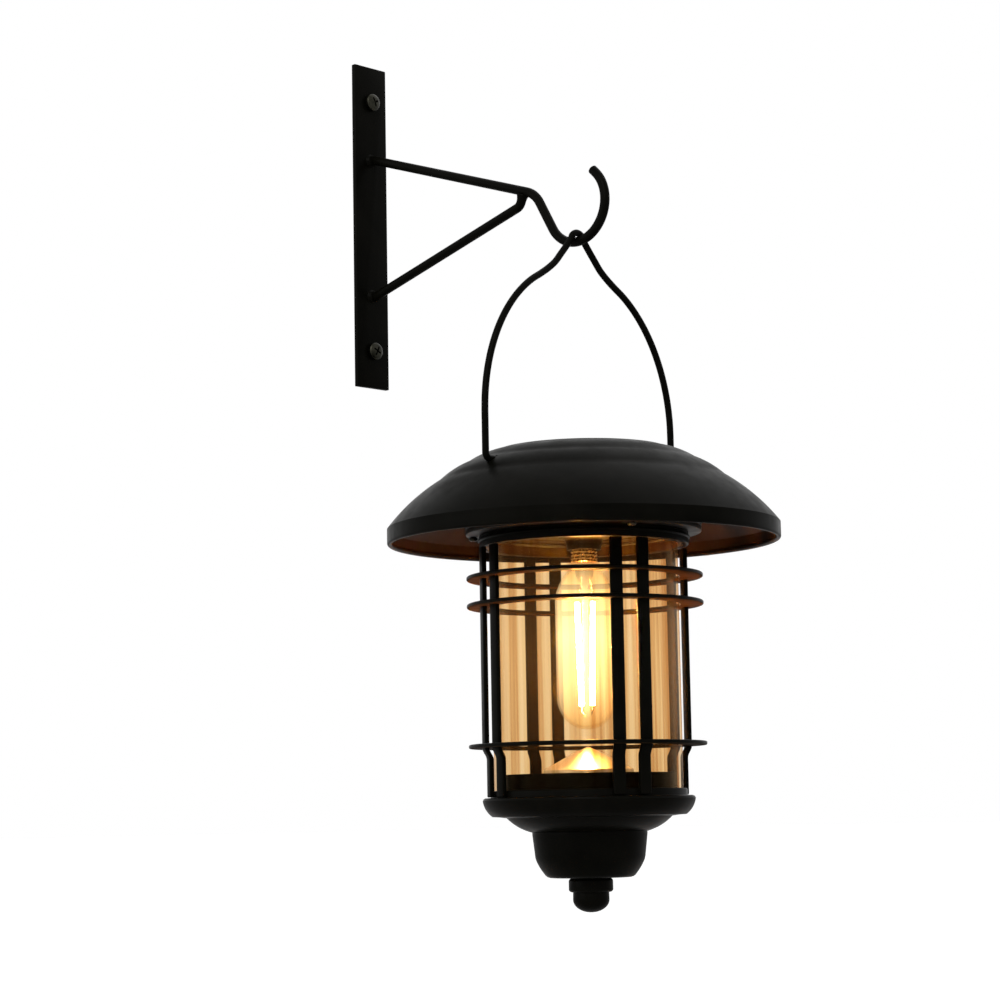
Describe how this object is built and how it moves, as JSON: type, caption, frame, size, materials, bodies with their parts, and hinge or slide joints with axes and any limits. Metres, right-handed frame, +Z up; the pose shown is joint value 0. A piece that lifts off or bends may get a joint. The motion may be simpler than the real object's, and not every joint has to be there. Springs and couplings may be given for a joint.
{
  "type": "solar lantern",
  "caption": "Hanging solar lantern on a wall bracket: wide spun hood, clear tube in a barred cage, filament bulb, stepped base with a finial; it swings, tips and twists open.",
  "frame": {"origin": "centre of the wall plate's back face, on the wall", "axes": "+X out of the wall along the arm, +Z up, +Y to the left as one looks out from the wall"},
  "size_m": [0.2196, 0.1702, 0.3993],
  "materials": {
    "black_paint": "satin black paint",
    "black_plastic": "matte black",
    "clear_glass": "clear, faintly warm",
    "bulb_glass": "clear amber",
    "filament": "phosphor coated, lit",
    "brass": "satin",
    "steel": "satin",
    "rubber": "matte black",
    "solar_cell": "glossy dark blue cell",
    "board": "green board",
    "battery_wrap": "green wrap",
    "mirror_metal": "polished"
  },
  "bodies": {
    "bracket": {"wall_plate": "black_paint", "wall_screw_upper": "steel", "wall_screw_lower": "steel", "arm_rod": "black_paint", "brace_rod": "black_paint"},
    "handle": {"bail": "black_paint"},
    "head": {"hood_shell": "black_paint", "solar_cap": "black_plastic", "solar_cell": "solar_cell", "cap_gasket": "rubber", "module_tub": "black_plastic", "lamp_plate": "black_plastic", "lamp_plate_screw_1": "steel", "lamp_plate_screw_2": "steel", "lamp_plate_screw_3": "steel", "battery_holder": "black_plastic", "battery": "battery_wrap", "contact_positive": "steel", "contact_negative": "steel", "circuit_board": "board", "switch_body": "black_plastic", "bulb_holder": "black_plastic", "bulb_cap": "brass", "bulb_glass": "bulb_glass", "bulb_stem": "bulb_glass", "led_filament_1": "filament", "led_filament_2": "filament"},
    "switch": {"switch_button": "black_plastic"},
    "cage": {"cage_collar": "black_paint", "cage_bar_1": "black_paint", "cage_bar_2": "black_paint", "cage_bar_3": "black_paint", "cage_bar_4": "black_paint", "cage_bar_5": "black_paint", "cage_bar_6": "black_paint", "cage_bar_7": "black_paint", "cage_bar_8": "black_paint", "cage_ring_upper": "black_paint", "cage_ring_middle": "black_paint", "cage_ring_lower": "black_paint", "glass_tube": "clear_glass", "glass_seal_top": "rubber", "glass_seal_bottom": "rubber", "base_tray": "black_paint", "base_cup": "black_paint", "base_reflector": "mirror_metal", "base_nut": "steel", "base_stud": "steel", "finial_collar": "black_paint", "finial_knob": "black_paint"}
  },
  "joints": [
    {"name": "hook_swing", "type": "hinge", "parent": "bracket", "child": "handle", "pos_m": [0.1345, 0, -0.03], "axis": [1, 0, 0], "range_deg": [-45, 45]},
    {"name": "bail_pivot", "type": "hinge", "parent": "handle", "child": "head", "pos_m": [0.1345, 0, -0.1313], "axis": [0, 1, 0], "range_deg": [-75, 35]},
    {"name": "cage_twist", "type": "hinge", "parent": "head", "child": "cage", "pos_m": [0.1345, 0, -0.1634], "axis": [0, 0, 1], "range_deg": [0, 14]},
    {"name": "switch_press", "type": "slide", "parent": "head", "child": "switch", "axis": [0, 0, 1], "range_m": [0, 0.0015], "stiffness_N_per_m": 1500, "springref_m": -0.0003}
  ]
}
